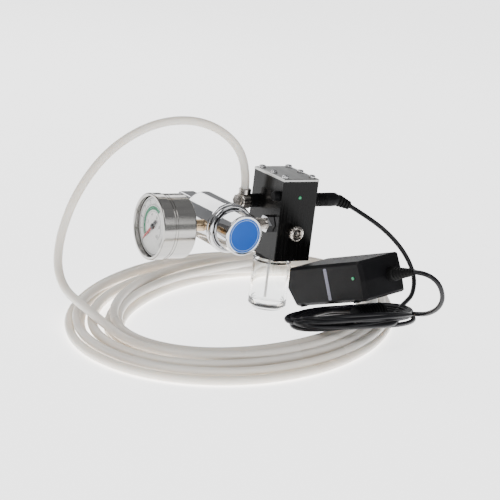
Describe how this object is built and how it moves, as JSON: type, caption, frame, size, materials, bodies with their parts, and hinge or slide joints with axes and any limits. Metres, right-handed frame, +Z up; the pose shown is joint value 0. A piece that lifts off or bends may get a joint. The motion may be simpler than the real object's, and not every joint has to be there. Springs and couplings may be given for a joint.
{
  "type": "gas pressure regulator with solenoid valve, bubble jar, hose coil and mains adapter",
  "caption": "Chrome gas pressure regulator with gauge and knob, black solenoid dosing block, clear bubble jar, coiled hose and mains adapter.",
  "frame": {"origin": "centre of the jar's base, on the floor", "axes": "+Z up through the jar; +X from the gauge to the valve block; the knobs face -Y"},
  "size_m": [0.3246, 0.2923, 0.1477],
  "materials": {
    "chrome": "polished chrome plating",
    "stainless": "polished stainless",
    "nickel": "bright nickel",
    "brass": "machined brass",
    "black_anodised": "glossy black anodising",
    "plate": "satin aluminium",
    "steel": "machined steel",
    "spring": "spring steel",
    "copper_coil": "varnished winding",
    "black_plastic": "satin black",
    "rubber": "matt rubber",
    "clear": "clear",
    "hose": "milky translucent",
    "cable": "satin black jacket",
    "dial": "white print",
    "red": "red enamel",
    "blue": "blue print",
    "led": "green lens"
  },
  "bodies": {
    "regulator": {"regulator_body": "chrome", "bonnet": "chrome", "diaphragm": "rubber", "inlet_nipple": "nickel", "gauge_stem": "brass", "gauge_case": "stainless", "gauge_bezel": "stainless", "gauge_lens": "clear", "gauge_dial": "dial", "gauge_movement": "brass", "valve_block": "black_anodised", "top_plate": "plate", "cover_screw_1": "steel", "cover_screw_2": "steel", "cover_screw_3": "steel", "cover_screw_4": "steel", "cover_screw_5": "steel", "cover_screw_6": "steel", "dc_jack": "black_plastic", "status_led": "led", "solenoid_coil": "copper_coil", "solenoid_core": "steel", "service_plug": "black_plastic", "outlet_nipple": "nickel", "union_nut": "chrome", "needle_bush": "nickel", "dip_tube": "hose", "elbow_collar": "black_plastic", "elbow_body": "nickel", "elbow_cap": "nickel", "hose_nut": "nickel", "hose_run": "hose", "hose_coil": "hose", "dc_plug": "black_plastic", "plug_relief": "rubber", "cable_run": "cable", "cable_bundle": "cable", "cable_tail": "cable", "ferrite_bead": "black_plastic", "adapter_upper_case": "black_plastic", "adapter_lower_case": "black_plastic", "adapter_led": "led", "adapter_relief": "rubber", "mains_inlet": "black_plastic", "range_spring": "spring", "plunger_spring": "spring", "poppet_spring": "spring"},
    "button": {"spring_button": "brass"},
    "knob": {"adjusting_knob": "chrome", "knob_disc": "blue", "adjusting_screw": "steel"},
    "needle": {"metering_needle": "steel"},
    "metering": {"metering_knob": "nickel"},
    "pointer": {"gauge_pointer": "red"},
    "nut": {"inlet_nut": "chrome"},
    "seal": {"jar_seal": "rubber"},
    "jar": {"jar": "clear"},
    "plunger": {"plunger": "steel"},
    "poppet": {"poppet": "brass"}
  },
  "joints": [
    {"name": "button_slide", "type": "slide", "parent": "regulator", "child": "button", "axis": [0, 1, 0], "range_m": [0, 0.003], "deforming": ["range_spring"]},
    {"name": "knob_turn", "type": "hinge", "parent": "button", "child": "knob", "pos_m": [-0.055, -0.035, 0.0705], "axis": [0, 1, 0], "range_deg": [0, 864]},
    {"name": "needle_slide", "type": "slide", "parent": "regulator", "child": "needle", "axis": [0, -1, 0], "range_m": [0, 0.0015]},
    {"name": "metering_turn", "type": "hinge", "parent": "needle", "child": "metering", "pos_m": [0, -0.03, 0.067], "axis": [0, -1, 0], "range_deg": [0, 720]},
    {"name": "pointer_turn", "type": "hinge", "parent": "regulator", "child": "pointer", "pos_m": [-0.112, -0.011, 0.0705], "axis": [1, 0, 0], "range_deg": [0, 270]},
    {"name": "inlet_nut_spin", "type": "hinge", "parent": "regulator", "child": "nut", "pos_m": [-0.055, 0.04, 0.0705], "axis": [0, 1, 0], "continuous": true},
    {"name": "jar_lower", "type": "slide", "parent": "regulator", "child": "seal", "axis": [0, 0, -1], "range_m": [0, 0.0075]},
    {"name": "jar_turn", "type": "hinge", "parent": "seal", "child": "jar", "pos_m": [0, 0, 0.045], "axis": [0, 0, -1], "range_deg": [0, 1080]},
    {"name": "plunger_lift", "type": "slide", "parent": "regulator", "child": "plunger", "axis": [0, 0, 1], "range_m": [0, 0.0012], "stiffness_N_per_m": 200, "springref_m": -0.002, "deforming": ["plunger_spring"]},
    {"name": "poppet_slide", "type": "slide", "parent": "regulator", "child": "poppet", "axis": [0, 1, 0], "range_m": [0, 0.0008], "stiffness_N_per_m": 400, "springref_m": -0.002, "deforming": ["poppet_spring"]}
  ],
  "couplings": [
    {"joint": "knob_turn", "follows": "button_slide", "rad_per_m": 5026.5},
    {"joint": "metering_turn", "follows": "needle_slide", "rad_per_m": 8377.5},
    {"joint": "jar_turn", "follows": "jar_lower", "rad_per_m": 2513.2}
  ]
}
